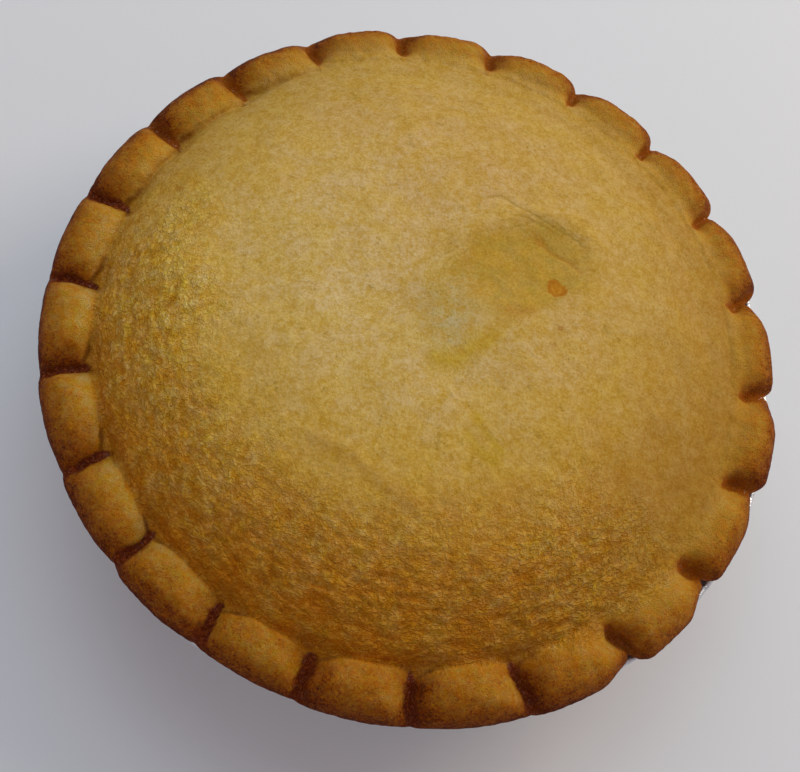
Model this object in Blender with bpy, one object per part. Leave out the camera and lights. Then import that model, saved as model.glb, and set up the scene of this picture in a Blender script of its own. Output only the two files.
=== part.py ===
"""A whole baked meat and potato pie in its foil tin.

The pie is one solid: a domed lid, a finger-crimped rim and the straight crust below it.
The tin is a thin fluted tray with a flat flange and a rolled edge.
Metres, +Z up, the table at z = 0 and the pie's axis on the Z axis.
"""

import bisect
import math
import random

import bmesh
import bpy
from mathutils import Vector, noise

for old_piece in list(bpy.data.objects):
    bpy.data.objects.remove(old_piece, do_unlink=True)

GAP = 0.0003                     # free space between the crust and the foil

# Foil tin
FOIL_THICKNESS = 0.0005
TIN_BASE_RADIUS = 0.0690
TIN_MOUTH_RADIUS = 0.0838        # top of the wall, where the flange turns out
TIN_FLANGE_HEIGHT = 0.0308       # middle of the flange
TIN_EDGE_RADIUS = 0.0883         # outside of the rolled edge
ROLL_RADIUS = 0.0009
FLUTES = 66                      # pleats round the wall
FLUTE_DEPTH = 0.0010
TIN_MIDDLE = Vector((0.0008, 0.0000, 0.0))

# Crimped rim
RIM_MIDDLE = Vector((-0.0010, 0.0002, 0.0))    # the lid lies a little off the tin's middle
CRIMPS = 22
FIRST_CRIMP_DEG = 91.1
CRIMP_DRIFT_DEG = 1.6            # the crimps are closer together on one side
CRIMP_DRIFT_PHASE_DEG = 24.0
LIP_RADIUS = 0.0892              # outer edge in the middle of a lobe
EDGE_WAVES = (                   # how the edge is out of round: times round, size, direction
    (1, 0.00096, -3.0),
    (2, 0.00022, -143.0),
    (3, 0.00035, 161.0),
    (4, 0.00037, 6.0),
)
NOTCH_DEPTH = 0.0006             # how far the edge draws back at a crimp
NOTCH_LEAD = 0.0095              # length over which the edge comes out again after a crimp
NOTCH_END = 0.0042               # and over which it turns in at the next one
DEEP_NOTCHES = (5, 8, 9)         # crimps where the foil shows
DEEP_NOTCH_EXTRA = 0.0012
LIP_BOTTOM = 0.0320
LIP_EDGE_HEIGHT = 0.0340         # height of the outermost line
CREASE_RADIUS = 0.0768           # where the lid meets the rim
CREASE_HEIGHT = 0.0384
LOBE_HEIGHT = 0.0404             # crest of a lobe
LOBE_CROWN = 0.0008              # how much a lobe's middle stands above its ends
LOBE_CREST = 0.40                # place of the crest from the crease to the edge
INNER_ROUND = (2.3, 0.75)        # power and shoulder of the lobe's side towards the lid
OUTER_ROUND = (2.4, 0.62)        # and of its side towards the edge
FLOOR_ROUND = (14.0, 0.6)        # and of the crimp floor where it turns over the edge
GROOVE_HALF_WIDTH = 0.0011
GROOVE_INNER_HEIGHT = 0.0364     # crimp floor at the lid
GROOVE_EDGE_HEIGHT = 0.0350      # crimp floor just inside the edge
STEEP_WALL = 0.0018              # far side of the finger press
GENTLE_WALL = 0.0036             # side the finger slid in from
JUNCTION_REACH = 0.06            # share of the lid's radius that dips towards a crimp
LOBE_UNEVENNESS = 0.0005

# Lid
DOME_RISE = 0.0180
DOME_ROUND = (2.5, 0.85)
DOME_WAVES = 0.0005              # slow unevenness of the baked lid
DENT_CENTRE = (0.0215, 0.0125)
DENT_HALF_LENGTH = 0.0190
DENT_HALF_WIDTH = 0.0120
DENT_TURN_DEG = 28.0
DENT_DEPTH = 0.0015
DENT_FLOOR = 0.35                # flat share of the dent
FOLD_HEIGHT = 0.0006             # raised fold along the far side of the dent

# Crust below the rim, inside the tin
CRUST_MARGIN = FLUTE_DEPTH + FOIL_THICKNESS / 2 + GAP

# Mesh fineness
RIM_RING_COUNT = 10
DOME_RINGS = ((132, (0.96, 0.90, 0.82, 0.73)), (66, (0.62, 0.50, 0.38)), (33, (0.25, 0.12)))
CRUST_SEGMENTS = 66
TIN_SEGMENTS = 2 * FLUTES
BASE_SEGMENTS = FLUTES
ROLL_POINTS = 6


def smooth_step(low, high, value):
    """Rise from 0 to 1 between low and high."""
    share = min(max((value - low) / (high - low), 0.0), 1.0)
    return share * share * (3.0 - 2.0 * share)


def mix(first, second, share):
    return first + (second - first) * share


def make_material(name, colour, roughness, metallic=0.0):
    material = bpy.data.materials.new(name)
    material.use_nodes = True
    shader = material.node_tree.nodes["Principled BSDF"]
    shader.inputs["Base Color"].default_value = (*colour, 1.0)
    shader.inputs["Roughness"].default_value = roughness
    shader.inputs["Metallic"].default_value = metallic
    material.diffuse_color = (*colour, 1.0)
    return material


def make_object(name, mesh_data, material):
    mesh = bpy.data.meshes.new(name)
    mesh_data.to_mesh(mesh)
    mesh_data.free()
    mesh.materials.append(material)
    mesh.shade_smooth()
    mesh.set_sharp_from_angle(angle=math.radians(50))
    piece = bpy.data.objects.new(name, mesh)
    bpy.context.collection.objects.link(piece)
    return piece


# ---- crimps ----

def crimp_angle(number):
    """Direction of a crimp in radians; the numbers run clockwise seen from above."""
    turn = math.tau * number / CRIMPS
    drift = CRIMP_DRIFT_DEG * math.cos(turn - math.radians(CRIMP_DRIFT_PHASE_DEG))
    return math.radians(FIRST_CRIMP_DEG + drift) - turn


def lobe_sizes():
    """Seeded unevenness of each lobe: crest height and edge radius."""
    draw = random.Random(7)
    amount = LOBE_UNEVENNESS
    return [(draw.uniform(-amount, amount), draw.uniform(-amount, amount)) for _ in range(CRIMPS)]


LOBES = lobe_sizes()
CRIMP_ANGLES = [crimp_angle(number) for number in range(CRIMPS + 1)]
FALLING_ANGLES = [-angle for angle in CRIMP_ANGLES]


def place_in_crimp(angle):
    """Number of the lobe at an angle, and the distances from the crimps before and after it."""
    while angle > CRIMP_ANGLES[0]:
        angle -= math.tau
    while angle <= CRIMP_ANGLES[-1]:
        angle += math.tau
    number = min(bisect.bisect_right(FALLING_ANGLES, -angle), CRIMPS) - 1
    before = (CRIMP_ANGLES[number] - angle) * LIP_RADIUS
    after = (angle - CRIMP_ANGLES[number + 1]) * LIP_RADIUS
    return number, max(before, 0.0), max(after, 0.0)


def lobe_fullness(angle, inward):
    """0 on a crimp's floor, 1 on a lobe; inward is 0 at the edge and 1 at the crease."""
    _, before, after = place_in_crimp(angle)
    floor = GROOVE_HALF_WIDTH * (1.0 + 1.2 * inward ** 4)
    spread = 1.0 + 0.9 * inward ** 3
    start = smooth_step(floor, floor + GENTLE_WALL * spread, before)
    end = smooth_step(floor, floor + STEEP_WALL * spread, after)
    return start * end


def edge_radius(angle):
    """Outermost radius of the pastry at an angle."""
    number, before, after = place_in_crimp(angle)
    start = smooth_step(0.0, NOTCH_LEAD, before)
    end = smooth_step(0.0, NOTCH_END, after)
    notch = NOTCH_DEPTH
    near = number if before < after else (number + 1) % CRIMPS
    if near in DEEP_NOTCHES:
        notch += DEEP_NOTCH_EXTRA
    radius = LIP_RADIUS + LOBES[number][1] * start * end - notch * (1.0 - start * end)
    for times, size, direction in EDGE_WAVES:
        radius += size * math.cos(times * angle - math.radians(direction))
    return radius


def superellipse(share, power, shoulder):
    """Falls from 1 at share 0 to 0 at share 1 with a round shoulder."""
    return max(1.0 - min(max(share, 0.0), 1.0) ** power, 0.0) ** shoulder


def rim_height(angle, outward):
    """Top of the rim; outward is 0 at the crease and 1 at the outermost line."""
    number, before, after = place_in_crimp(angle)
    crown = LOBE_CROWN * (math.sin(math.pi * before / (before + after)) - 0.6)
    crest = LOBE_HEIGHT + LOBES[number][0] + crown
    if outward < LOBE_CREST:
        fall = superellipse(1.0 - outward / LOBE_CREST, *INNER_ROUND)
        lobe = mix(CREASE_HEIGHT, crest, fall)
    else:
        fall = superellipse((outward - LOBE_CREST) / (1.0 - LOBE_CREST), *OUTER_ROUND)
        lobe = mix(LIP_EDGE_HEIGHT, crest, fall)
    floor_line = mix(GROOVE_INNER_HEIGHT, GROOVE_EDGE_HEIGHT, smooth_step(0.0, 0.9, outward))
    floor = mix(LIP_EDGE_HEIGHT - 0.0004, floor_line, superellipse(outward, *FLOOR_ROUND))
    return mix(floor, lobe, lobe_fullness(angle, 1.0 - outward))


def rim_point(angle, outward):
    radius = mix(CREASE_RADIUS, edge_radius(angle), outward)
    return RIM_MIDDLE + polar(angle, radius, rim_height(angle, outward))


def polar(angle, radius, height):
    return Vector((radius * math.cos(angle), radius * math.sin(angle), height))


# ---- lid ----

def dent_depth(x, y):
    """Shallow hollow in the lid with a fold along its far side."""
    turn = math.radians(DENT_TURN_DEG)
    along = (x - DENT_CENTRE[0]) * math.cos(turn) + (y - DENT_CENTRE[1]) * math.sin(turn)
    across = (y - DENT_CENTRE[1]) * math.cos(turn) - (x - DENT_CENTRE[0]) * math.sin(turn)
    reach = math.hypot(along / DENT_HALF_LENGTH, across / DENT_HALF_WIDTH)
    hollow = DENT_DEPTH * (1.0 - smooth_step(DENT_FLOOR, 1.1, reach))
    far_side = smooth_step(-0.2, 0.7, (along / DENT_HALF_LENGTH + across / DENT_HALF_WIDTH) / 1.4)
    fold = FOLD_HEIGHT * math.exp(-((reach - 1.12) / 0.16) ** 2) * far_side
    return hollow - fold


def dome_height(x, y):
    share = math.hypot(x, y) / CREASE_RADIUS
    rise = DOME_RISE * superellipse(share, *DOME_ROUND)
    waves = DOME_WAVES * noise.noise(Vector((x, y, 0.31)) / 0.018)
    waves += 0.5 * DOME_WAVES * noise.noise(Vector((x, y, 0.77)) / 0.008)
    relief = (waves - dent_depth(x, y)) * (1.0 - smooth_step(0.8, 1.0, share))
    pressed = 1.0 - lobe_fullness(math.atan2(y, x), 1.0)
    dip = (CREASE_HEIGHT - GROOVE_INNER_HEIGHT) * pressed
    dip *= smooth_step(1.0 - JUNCTION_REACH, 1.0, share)
    return CREASE_HEIGHT + rise + relief - dip


# ---- meshes ----

def crimp_stations():
    """Angles round the rim, closer together on the walls of each crimp."""
    pitch = math.tau * LIP_RADIUS / CRIMPS
    floor = GROOVE_HALF_WIDTH
    gentle = [floor, floor + 0.3 * GENTLE_WALL, floor + 0.6 * GENTLE_WALL, floor + GENTLE_WALL]
    steep = [floor + STEEP_WALL * share for share in (1.35, 0.75, 0.4, 0.0)]
    middle = [mix(gentle[-1], pitch - steep[0], share) for share in (0.27, 0.54, 0.8)]
    places = [0.0] + gentle + middle + [pitch - distance for distance in steep]
    angles = []
    for number in range(CRIMPS):
        width = CRIMP_ANGLES[number] - CRIMP_ANGLES[number + 1]
        angles += [CRIMP_ANGLES[number] - width * place / pitch for place in places]
    return angles[::-1]


def add_ring(mesh_data, points):
    """A closed loop of edges through the points."""
    verts = [mesh_data.verts.new(point) for point in points]
    return [mesh_data.edges.new((verts[i - 1], verts[i])) for i in range(len(verts))]


def skin_rings(mesh_data, rings):
    """Faces from each ring to the next, then a closed bottom and top."""
    for lower, upper in zip(rings, rings[1:]):
        bmesh.ops.bridge_loops(mesh_data, edges=lower + upper)
    for ring in (rings[0], rings[-1]):
        bmesh.ops.contextual_create(mesh_data, geom=ring)


def finish_mesh(mesh_data):
    bmesh.ops.triangulate(mesh_data, faces=mesh_data.faces[:])
    bmesh.ops.recalc_face_normals(mesh_data, faces=mesh_data.faces[:])
    if mesh_data.calc_volume(signed=True) < 0.0:
        bmesh.ops.reverse_faces(mesh_data, faces=mesh_data.faces[:])


def wall_radius(height):
    """Middle of the foil wall at a height."""
    return mix(TIN_BASE_RADIUS, TIN_MOUTH_RADIUS, height / TIN_FLANGE_HEIGHT)


def crust_rings(mesh_data):
    """The crust inside the tin, from its base up to the underside of the rim."""
    bottom = FOIL_THICKNESS + GAP
    corner = bottom + 0.0015
    top = TIN_FLANGE_HEIGHT - 0.0028
    rings = []
    for height, inset in ((bottom, 0.0022), (corner, 0.0), (0.5 * top, 0.0), (top, 0.0)):
        radius = wall_radius(height) - CRUST_MARGIN - inset
        points = tin_circle(CRUST_SEGMENTS, radius, height)
        rings.append(add_ring(mesh_data, points))
    neck = TIN_MOUTH_RADIUS - CRUST_MARGIN - 0.0006
    rings.append(add_ring(mesh_data, tin_circle(2 * CRUST_SEGMENTS, neck, LIP_BOTTOM - 0.0002)))
    return rings


def tin_circle(count, radius, height):
    """A circle round the tin's own middle."""
    return [TIN_MIDDLE + polar(math.tau * i / count, radius, height) for i in range(count)]


def rim_rings(mesh_data, angles):
    """The underside of the lip, its round edge and the crimped top."""
    rings = []
    for inset, drop in ((0.0016, 0.0), (0.0004, 0.0006)):
        height = LIP_BOTTOM + drop
        points = [RIM_MIDDLE + polar(a, edge_radius(a) - inset, height) for a in angles]
        rings.append(add_ring(mesh_data, points))
    for i in range(RIM_RING_COUNT):
        swing = 0.5 * math.pi * i / (RIM_RING_COUNT - 1)
        outward = math.cos(swing) ** 1.15
        rings.append(add_ring(mesh_data, [rim_point(a, outward) for a in angles]))
    return rings


def dome_rings(mesh_data):
    rings = []
    for count, shares in DOME_RINGS:
        for share in shares:
            radius = share * CREASE_RADIUS
            flat = [polar(math.tau * i / count, radius, 0.0) for i in range(count)]
            points = [RIM_MIDDLE + Vector((p.x, p.y, dome_height(p.x, p.y))) for p in flat]
            rings.append(add_ring(mesh_data, points))
    return rings


def build_pie():
    mesh_data = bmesh.new()
    angles = crimp_stations()
    rings = crust_rings(mesh_data) + rim_rings(mesh_data, angles) + dome_rings(mesh_data)
    skin_rings(mesh_data, rings)
    finish_mesh(mesh_data)
    crust = make_material("baked_crust", (0.46, 0.27, 0.07), 0.62)
    return make_object("pie", mesh_data, crust)


def foil_line():
    """Middle line of the foil from the base's corner out to the rolled edge.

    Each entry is a radius, a height, how deep the pleats are there and the points round it.
    """
    half = FOIL_THICKNESS / 2
    line = [
        (TIN_BASE_RADIUS - 0.0018, half, 0.0, BASE_SEGMENTS),
        (wall_radius(0.0014), 0.0014, 0.3, TIN_SEGMENTS),
        (wall_radius(0.0050), 0.0050, 1.0, TIN_SEGMENTS),
    ]
    shoulder = TIN_FLANGE_HEIGHT - 0.0018
    line.append((wall_radius(shoulder), shoulder, 1.0, TIN_SEGMENTS))
    line.append((TIN_MOUTH_RADIUS + 0.0006, TIN_FLANGE_HEIGHT, 0.0, TIN_SEGMENTS))
    line.append((TIN_EDGE_RADIUS - 2.0 * ROLL_RADIUS, TIN_FLANGE_HEIGHT, 0.0, TIN_SEGMENTS))
    return line


def offset_line(line, distance):
    """The line moved sideways by a distance, to its left as it runs outwards."""
    moved = []
    for i, (radius, height, flute, count) in enumerate(line):
        before = line[max(i - 1, 0)]
        after = line[min(i + 1, len(line) - 1)]
        along = Vector((after[0] - before[0], after[1] - before[1])).normalized()
        if i == 0:
            along = Vector((1.0, 0.0))
        moved.append((radius - along.y * distance, height + along.x * distance, flute, count))
    return moved


def roll_section():
    """The rolled edge, from the flange's upper face round to its lower face."""
    centre = TIN_EDGE_RADIUS - ROLL_RADIUS
    start = math.asin(FOIL_THICKNESS / 2 / ROLL_RADIUS)
    section = []
    for i in range(ROLL_POINTS):
        swing = math.pi - start - (math.tau - 2.0 * start) * i / (ROLL_POINTS - 1)
        height = TIN_FLANGE_HEIGHT + ROLL_RADIUS * math.sin(swing)
        section.append((centre + ROLL_RADIUS * math.cos(swing), height, 0.0, TIN_SEGMENTS))
    return section


def fluted_ring(radius, height, flute, count):
    """A ring of the tin; every other point stands out where the wall is pleated."""
    points = []
    for i in range(count):
        wave = flute * FLUTE_DEPTH * (0.5 if i % 2 else -0.5)
        points.append(TIN_MIDDLE + polar(math.tau * i / count, radius + wave, height))
    return points


def build_tin():
    line = foil_line()
    inside = offset_line(line, FOIL_THICKNESS / 2)
    outside = offset_line(line, -FOIL_THICKNESS / 2)
    section = inside[:-1] + roll_section() + outside[-2::-1]
    mesh_data = bmesh.new()
    rings = [add_ring(mesh_data, fluted_ring(*place)) for place in section]
    skin_rings(mesh_data, rings)
    finish_mesh(mesh_data)
    foil = make_material("foil", (0.80, 0.81, 0.82), 0.28, metallic=1.0)
    return make_object("foil_tin", mesh_data, foil)


build_pie()
build_tin()
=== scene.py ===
import math
import random

import bpy
import numpy as np
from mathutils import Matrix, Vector, noise


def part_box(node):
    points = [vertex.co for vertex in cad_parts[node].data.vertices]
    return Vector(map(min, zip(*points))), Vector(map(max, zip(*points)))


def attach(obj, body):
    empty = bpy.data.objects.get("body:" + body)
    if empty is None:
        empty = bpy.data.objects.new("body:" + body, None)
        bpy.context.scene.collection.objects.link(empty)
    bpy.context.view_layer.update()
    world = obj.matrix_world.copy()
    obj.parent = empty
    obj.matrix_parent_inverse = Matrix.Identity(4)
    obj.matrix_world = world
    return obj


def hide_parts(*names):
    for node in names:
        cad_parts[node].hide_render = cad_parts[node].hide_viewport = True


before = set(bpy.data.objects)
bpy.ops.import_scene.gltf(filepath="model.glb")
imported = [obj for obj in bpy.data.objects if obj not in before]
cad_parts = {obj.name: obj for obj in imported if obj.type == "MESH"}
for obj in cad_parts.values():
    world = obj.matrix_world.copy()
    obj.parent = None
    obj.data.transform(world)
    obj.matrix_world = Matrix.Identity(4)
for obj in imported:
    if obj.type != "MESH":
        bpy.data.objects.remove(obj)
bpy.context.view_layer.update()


# Numbers and patterns used by more than one piece

def smoothStep(low, high, value):
    share = np.clip((value - low) / (high - low), 0.0, 1.0)
    return share * share * (3.0 - 2.0 * share)


def between(first, second, share):
    return first + (second - first) * share


def hump(distance, width):
    return np.exp(-(distance / width) ** 2)


def plateau(start, full, fading, gone, value):
    # rises from 0 at start to 1 at full, and falls again from fading to gone
    return smoothStep(start, full, value) * (1.0 - smoothStep(fading, gone, value))


def polar(spots):
    # radius, angle and height of every point
    x, y, height = spots.T.copy()
    return np.hypot(x, y), np.arctan2(y, x), height


def onRing(angle, radius, height=0.0):
    return np.stack((radius * np.cos(angle), radius * np.sin(angle), height + 0.0 * angle), axis=1)


class Grain:
    # seeded smooth noise from about -1 to 1, for a whole array of points at once
    def __init__(self, seed):
        draw = np.random.default_rng(seed)
        self.order = draw.permutation(256)
        slopes = draw.normal(size=(256, 3))
        self.slopes = slopes / np.linalg.norm(slopes, axis=1)[:, None]

    def at(self, points):
        cell = np.floor(points).astype(int)
        part = points - cell
        ease = part ** 3 * (part * (part * 6.0 - 15.0) + 10.0)
        total = np.zeros(len(points))
        for corner in np.ndindex(2, 2, 2):
            key = (cell + corner) % 256
            row = self.order[(self.order[key[:, 0]] + key[:, 1]) % 256]
            slope = self.slopes[self.order[(row + key[:, 2]) % 256]]
            weight = np.where(corner, ease, 1.0 - ease).prod(axis=1)
            total += weight * ((part - corner) * slope).sum(axis=1)
        return 1.6 * total


def deselectAll():
    if bpy.context.mode != "OBJECT":
        bpy.ops.object.mode_set(mode="OBJECT")
    bpy.ops.object.select_all(action="DESELECT")


def editAll():
    bpy.ops.object.mode_set(mode="EDIT")
    bpy.ops.mesh.select_all(action="SELECT")


def leaveEdit():
    bpy.ops.object.mode_set(mode="OBJECT")


def drawProfile(name, points):
    # one vertex, extruded along the profile
    deselectAll()
    start = Vector((points[0][0], 0.0, points[0][1]))
    bpy.ops.mesh.primitive_plane_add(size=0.001, location=start)
    piece = bpy.context.object
    piece.name = name
    bpy.ops.object.transform_apply(location=True, rotation=True, scale=True)
    editAll()
    bpy.ops.mesh.select_mode(type="VERT")
    bpy.ops.mesh.merge(type="CENTER")
    for before, after in zip(points, points[1:]):
        step = (after[0] - before[0], 0.0, after[1] - before[1])
        bpy.ops.mesh.extrude_region_move(TRANSFORM_OT_translate={"value": step})
    leaveEdit()
    return piece


def spinProfile(name, points, steps):
    piece = drawProfile(name, points)
    editAll()
    bpy.ops.mesh.spin(steps=steps, angle=math.tau, center=(0, 0, 0), axis=(0, 0, 1))
    bpy.ops.mesh.select_all(action="SELECT")
    bpy.ops.mesh.remove_doubles(threshold=1e-6)
    leaveEdit()
    return piece


def joinAndBridge(pieces, seams):
    # seams: the radius and height of each open edge; each gap lies between two of them
    deselectAll()
    for piece in pieces:
        piece.select_set(True)
    bpy.context.view_layer.objects.active = pieces[0]
    bpy.ops.object.join()
    whole = bpy.context.object
    for gap in seams:
        markOpenEdges(whole, gap)
        bpy.ops.object.mode_set(mode="EDIT")
        bpy.ops.mesh.bridge_edge_loops()
        leaveEdit()
    editAll()
    bpy.ops.mesh.remove_doubles(threshold=1e-6)
    bpy.ops.mesh.normals_make_consistent(inside=False)
    leaveEdit()
    return whole


def markOpenEdges(piece, places):
    mesh = piece.data
    bpy.ops.object.mode_set(mode="EDIT")
    bpy.ops.mesh.select_mode(type="EDGE")
    bpy.ops.mesh.select_all(action="DESELECT")
    leaveEdit()
    radius, _, height = polar(readSpots(mesh))
    ends = np.zeros(2 * len(mesh.edges), dtype=int)
    mesh.edges.foreach_get("vertices", ends)
    ends = ends.reshape(-1, 2)
    marked = np.zeros(len(ends), dtype=bool)
    for ringRadius, ringHeight in places:
        near = (np.abs(radius - ringRadius) < 2e-6) & (np.abs(height - ringHeight) < 2e-6)
        marked |= near[ends[:, 0]] & near[ends[:, 1]]
    mesh.edges.foreach_set("select", marked)


def readSpots(mesh):
    spots = np.zeros(3 * len(mesh.vertices))
    mesh.vertices.foreach_get("co", spots)
    return spots.reshape(-1, 3)


def writeSpots(mesh, spots):
    mesh.vertices.foreach_set("co", spots.ravel())
    mesh.update()


def readNormals(mesh):
    normals = np.zeros(3 * len(mesh.vertices))
    mesh.vertex_normals.foreach_get("vector", normals)
    return normals.reshape(-1, 3)


def finishPiece(piece, node, material):
    piece.data.materials.clear()
    piece.data.materials.append(material)
    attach(piece, "root")
    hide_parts(node)


# Shader helpers

class Wire:
    # a socket that can be added, multiplied and so on
    def __init__(self, bench, socket):
        self.bench = bench
        self.socket = socket

    def __add__(self, other): return self.bench.math("ADD", self, other)
    def __radd__(self, other): return self.bench.math("ADD", other, self)
    def __sub__(self, other): return self.bench.math("SUBTRACT", self, other)
    def __rsub__(self, other): return self.bench.math("SUBTRACT", other, self)
    def __mul__(self, other): return self.bench.math("MULTIPLY", self, other)
    def __rmul__(self, other): return self.bench.math("MULTIPLY", other, self)


class Bench:
    # a new material and the one way to add nodes to it
    def __init__(self, name, constants):
        self.material = bpy.data.materials.new(name)
        self.material.use_nodes = True
        self.tree = self.material.node_tree
        self.shader = self.tree.nodes["Principled BSDF"]
        for socket, value in constants.items():
            self.shader.inputs[socket].default_value = value

    def add(self, kind, settings=None, inputs=None, output=0):
        node = self.tree.nodes.new(kind)
        for name, value in (settings or {}).items():
            if name == "stops":
                self.setStops(node.color_ramp, value)
            else:
                setattr(node, name, value)
        for name, value in (inputs or {}).items():
            self.feed(node.inputs[name], value)
        return Wire(self, node.outputs[output])

    def feed(self, socket, value):
        if isinstance(value, Wire):
            self.tree.links.new(value.socket, socket)
        else:
            socket.default_value = value

    def setStops(self, ramp, stops):
        while len(ramp.elements) > 1:
            ramp.elements.remove(ramp.elements[-1])
        for place, colour in stops:
            stop = ramp.elements.new(place)
            stop.color = (*colour, 1.0)
        ramp.elements.remove(ramp.elements[0])

    def math(self, operation, first, second=0.5):
        return self.add("ShaderNodeMath", {"operation": operation}, {0: first, 1: second})

    def mask(self, name, output="Fac"):
        return self.add("ShaderNodeAttribute", {"attribute_name": name}, output=output)

    def place(self):
        return self.add("ShaderNodeTexCoord", output="Object")

    def noise(self, scale, detail=2.0, roughness=0.5, place=None):
        inputs = {"Vector": place or self.place(), "Scale": scale, "Detail": detail, "Roughness": roughness}
        return self.add("ShaderNodeTexNoise", None, inputs)

    def cells(self, scale):
        inputs = {"Vector": self.place(), "Scale": scale}
        return self.add("ShaderNodeTexVoronoi", None, inputs)

    def stretch(self, scale):
        return self.add("ShaderNodeMapping", None, {"Vector": self.place(), "Scale": scale})

    def ramp(self, value, stops):
        return self.add("ShaderNodeValToRGB", {"stops": stops}, {"Fac": value})

    def fit(self, value, low, high, newLow=0.0, newHigh=1.0):
        inputs = {"Value": value, "From Min": low, "From Max": high, "To Min": newLow, "To Max": newHigh}
        return self.add("ShaderNodeMapRange", {"interpolation_type": "SMOOTHSTEP"}, inputs)

    def mixColour(self, share, first, second, blend="MIX"):
        settings = {"data_type": "RGBA", "blend_type": blend, "clamp_factor": True}
        first = first if isinstance(first, Wire) else (*first, 1.0)
        second = second if isinstance(second, Wire) else (*second, 1.0)
        return self.add("ShaderNodeMix", settings, {0: share, 6: first, 7: second}, output=2)

    def finish(self, colour, roughness, height, distance, strength):
        inputs = {"Height": height, "Distance": distance, "Strength": strength}
        self.feed(self.shader.inputs["Base Color"], colour)
        self.feed(self.shader.inputs["Roughness"], roughness)
        self.feed(self.shader.inputs["Normal"], self.add("ShaderNodeBump", None, inputs))


# The pie: sizes in metres, as its solid has them

crust = {
    "middle": (-0.0010, 0.0002),
    "crimps": 22,
    "firstCrimpDeg": 91.1,
    "driftDeg": 2.0,
    "driftPhaseDeg": 19.0,
    "lipRadius": 0.0892,
    "edgeWaves": ((1, 0.00096, -3.0), (2, 0.00022, -143.0), (3, 0.00035, 161.0), (4, 0.00037, 6.0)),
    "notch": 0.0008,
    "openSide": (0.940, 0.342),     # on this side the notches are deeper and the lobes fuller
    "openNotch": 0.0014,
    "openReach": 0.0008,
    "fullestDeg": (292.0, 20.0),    # the lobes in this direction, and this far round, are fuller still
    "fullestReach": 0.0006,
    "slantDeg": 1.6,                # the crimps slant about this direction
    "slantSideDeg": -20.0,
    "notchNose": 0.0018,
    "notchLead": 0.0105,
    "notchEnd": 0.0048,
    "deepNotches": (5, 8, 9),       # crimps where the foil shows
    "deepNotchExtra": 0.0026,
    "lipBottom": 0.0320,
    "lipEdge": 0.0340,
    "lipTuck": 0.0016,              # how far the lip turns in below its edge
    "creaseRadius": 0.0768,
    "creaseHeight": 0.0384,
    "creaseShift": 0.0014,          # on the left the lobes start further in
    "lobeHeight": 0.0404,
    "lobeCrown": 0.0011,
    "lobeCrest": 0.40,
    "innerRound": (2.6, 0.66),
    "outerRound": (2.1, 0.68),
    "floorRound": (14.0, 0.6),
    "grooveHalfWidth": 0.0006,      # the solid's grooves are a little wider
    "grooveInner": 0.0364,
    "grooveOuter": 0.0350,
    "steepWall": 0.0058,
    "gentleWall": 0.0080,
    "wallRound": (2.2, 0.8),        # steep at the foot, round above
    "burntShadedSide": (-0.75, -0.66),    # lobes' ends facing this side are burnt and darkened with painted shade, and their corners more cut back
    "smallCorner": (0.0010, 0.0026),
    "bigCorner": (0.0030, 0.0050),
    "junctionReach": 0.035,
    "lobeUnevenness": 0.0005,
    "domeRise": 0.0180,
    "domeRound": (2.5, 0.85),
    "domeWaves": 0.0005,
    "dentCentre": (0.0215, 0.0125),
    "dentHalfLength": 0.0190,
    "dentHalfWidth": 0.0120,
    "dentTurnDeg": 28.0,
    "dentDepth": 0.0015,
    "dentFloor": 0.35,
    "foldHeight": 0.0006,
    "bottom": 0.0008,
    "baseRadius": 0.0674,
    "neckRadius": 0.0816,
    "neckHeight": 0.0318,
}
lipRadius, lipEdge = crust["lipRadius"], crust["lipEdge"]
creaseRadius, creaseHeight = crust["creaseRadius"], crust["creaseHeight"]
pieMesh = {                         # how fine the pie's mesh is
    "rimSteps": 1056,
    "rimStep": 0.00052,
    "lidZones": (                   # steps round, radius from and to, and step along
        (528, 0.0762, 0.0300, 0.00062),
        (264, 0.0294, 0.0120, 0.0007),
        (132, 0.0113, 0.0040, 0.0008),
    ),
    "poleSteps": 33,
    "underSteps": 132,
}


def superellipse(share, power, shoulder):
    return np.maximum(1.0 - np.clip(share, 0.0, 1.0) ** power, 0.0) ** shoulder


def plainDome(radius):
    # height of the lid before its unevenness
    return creaseHeight + crust["domeRise"] * superellipse(radius / creaseRadius, *crust["domeRound"])


def findCrimps():
    number = np.arange(crust["crimps"] + 1)
    turn = math.tau * number / crust["crimps"]
    drift = crust["driftDeg"] * np.cos(turn - math.radians(crust["driftPhaseDeg"]))
    return np.radians(crust["firstCrimpDeg"] + drift) - turn


crimpAngles = findCrimps()
lobeDraw = random.Random(7)
lobeAmount = crust["lobeUnevenness"]
lobeSizes = [[lobeDraw.uniform(-lobeAmount, lobeAmount) for _ in range(2)] for _ in range(crust["crimps"])]
lobeLifts, lobeReaches = np.array(lobeSizes).T
lobeTans = np.array([lobeDraw.uniform(-0.05, 0.05) for _ in range(crust["crimps"])])


def placeInCrimp(angle):
    # the lobe's number, and the way along the edge from the crimp before and to the one after
    turned = crimpAngles[0] - (crimpAngles[0] - angle) % math.tau
    number = np.searchsorted(-crimpAngles, -turned, side="right") - 1
    number = np.clip(number, 0, crust["crimps"] - 1)
    before = (crimpAngles[number] - turned) * lipRadius
    after = (turned - crimpAngles[number + 1]) * lipRadius
    return number, np.maximum(before, 0.0), np.maximum(after, 0.0)


def creaseInward(angle):
    return crust["creaseShift"] * smoothStep(0.2, 0.9, -np.cos(angle))


def crimpSlant(angle, outward):
    side = smoothStep(0.3, 0.8, np.cos(angle - math.radians(crust["slantSideDeg"])))
    return math.radians(crust["slantDeg"]) * side * smoothStep(0.25, 1.0, outward)


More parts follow.
